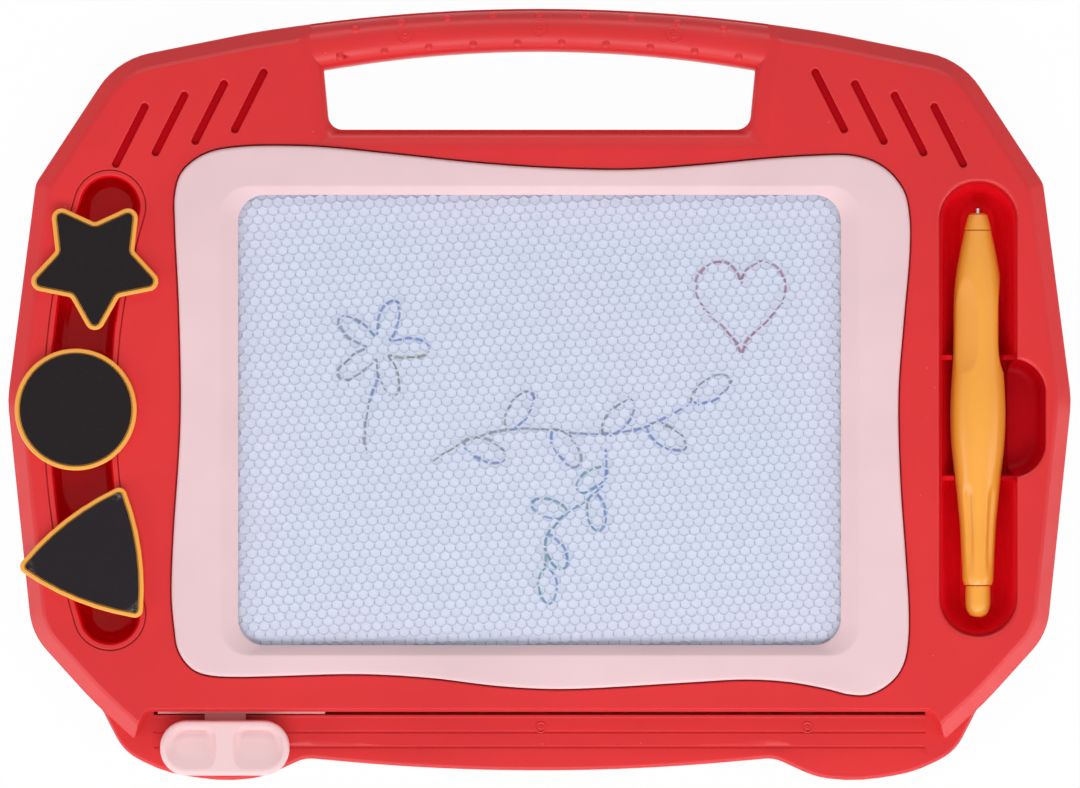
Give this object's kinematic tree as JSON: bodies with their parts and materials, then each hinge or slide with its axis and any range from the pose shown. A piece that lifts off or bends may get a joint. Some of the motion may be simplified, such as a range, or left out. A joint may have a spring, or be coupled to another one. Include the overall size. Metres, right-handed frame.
{
  "type": "magnetic drawing board",
  "caption": "Flat toy drawing board with a carrying handle, a honeycomb screen in a wavy bezel, a sliding eraser, a magnet pen in a well and magnetic stamps in a curved tray.",
  "frame": {"origin": "under the middle of the board, on the plane that its back rests on", "axes": "+X to the right along the longest side, +Y towards the carrying handle, +Z out of the drawing face"},
  "size_m": [0.3194, 0.2319, 0.0232],
  "materials": {
    "red_shell": "semi-gloss moulded",
    "red_back": "fine satin",
    "red_gloss": "high gloss",
    "pink_plastic": "semi-gloss moulded",
    "pink_knob": "semi-gloss moulded",
    "screen_film": "clear film",
    "screen_core": "honeycomb cells",
    "white_sheet": "matt",
    "magnet_black": "matt",
    "magnet_sheet": "matt",
    "orange_pen": "semi-gloss moulded",
    "orange_stamp": "semi-gloss moulded",
    "steel": "plated"
  },
  "bodies": {
    "housing": {"front_shell": "red_shell", "back_shell": "red_back", "stamp_tray": "red_gloss", "screen_bezel": "pink_plastic", "screen_front_film": "screen_film", "screen_honeycomb": "screen_core", "screen_back_sheet": "white_sheet", "screw_1": "steel", "screw_2": "steel", "screw_3": "steel", "screw_4": "steel", "screw_5": "steel", "screw_6": "steel", "screw_7": "steel", "screw_8": "steel", "screw_9": "steel", "screw_10": "steel"},
    "eraser": {"eraser_knob": "pink_knob", "eraser_carriage": "pink_knob", "eraser_magnet": "magnet_black"},
    "pen": {"pen_barrel": "orange_pen", "pen_nose": "orange_pen", "pen_tail": "orange_pen", "pen_tip": "steel"},
    "star_stamp": {"star_body": "orange_stamp", "star_sheet": "magnet_sheet"},
    "disc_stamp": {"disc_body": "orange_stamp", "disc_sheet": "magnet_sheet"},
    "triangle_stamp": {"triangle_body": "orange_stamp", "triangle_sheet": "magnet_sheet"}
  },
  "joints": [
    {"name": "eraser_slide", "type": "slide", "parent": "housing", "child": "eraser", "axis": [1, 0, 0], "range_m": [0, 0.1791]},
    {"name": "pen_lift", "type": "slide", "parent": "housing", "child": "pen", "axis": [0, 0, 1], "range_m": [0, 0.04]},
    {"name": "star_lift", "type": "slide", "parent": "housing", "child": "star_stamp", "axis": [0, 0, 1], "range_m": [0, 0.04]},
    {"name": "disc_lift", "type": "slide", "parent": "housing", "child": "disc_stamp", "axis": [0, 0, 1], "range_m": [0, 0.04]},
    {"name": "triangle_lift", "type": "slide", "parent": "housing", "child": "triangle_stamp", "axis": [0, 0, 1], "range_m": [0, 0.04]}
  ]
}
